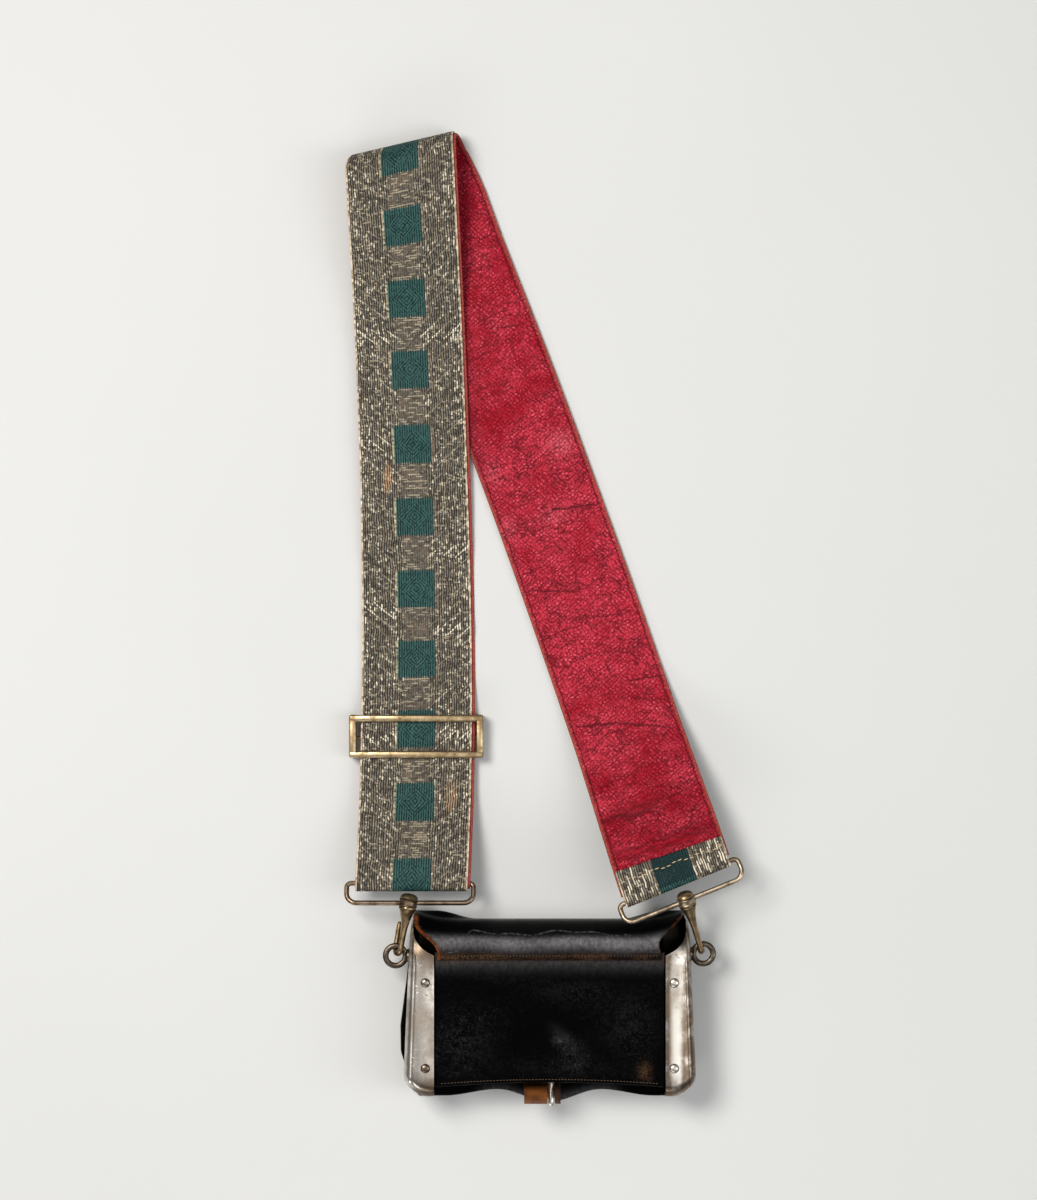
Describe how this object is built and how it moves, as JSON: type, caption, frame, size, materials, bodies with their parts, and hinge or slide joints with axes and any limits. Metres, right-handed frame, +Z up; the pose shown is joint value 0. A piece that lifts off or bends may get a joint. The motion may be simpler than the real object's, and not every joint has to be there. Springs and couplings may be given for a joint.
{
  "type": "cartridge pouch with shoulder belt",
  "caption": "Flat leather cartridge pouch with metal ends and a flap lid, on a lace-faced shoulder belt with swivel hooks and a slider; lies on its lid.",
  "frame": {"origin": "on the lid's flat front, below the middle of the case, where the pouch lies on the surface", "axes": "+Z up from the surface, out of the pouch's back; +Y from the pouch to the belt's fold; +X to the right with the back panel up"},
  "size_m": [0.1977, 0.4847, 0.036],
  "materials": {
    "black_leather": "worn gloss black",
    "tan_leather": "raw tan",
    "red_leather": "grained crimson",
    "lace": "tarnished silver lace with green silk squares",
    "white_metal": "worn white metal",
    "brass": "aged"
  },
  "bodies": {
    "root": {"back_panel": "black_leather", "case_wrap": "black_leather", "lid": "black_leather", "closing_tab": "tan_leather", "belt_lining": "red_leather", "belt_lace": "lace", "closing_stud": "white_metal", "end_cap_left": "white_metal", "end_cap_right": "white_metal", "rivet_left_upper": "white_metal", "rivet_left_lower": "white_metal", "rivet_right_upper": "white_metal", "rivet_right_lower": "white_metal", "slider": "brass", "loop_left": "brass", "loop_right": "brass", "hook_left": "brass", "hook_right": "brass", "eye_left": "brass", "eye_right": "brass"}
  },
  "joints": []
}
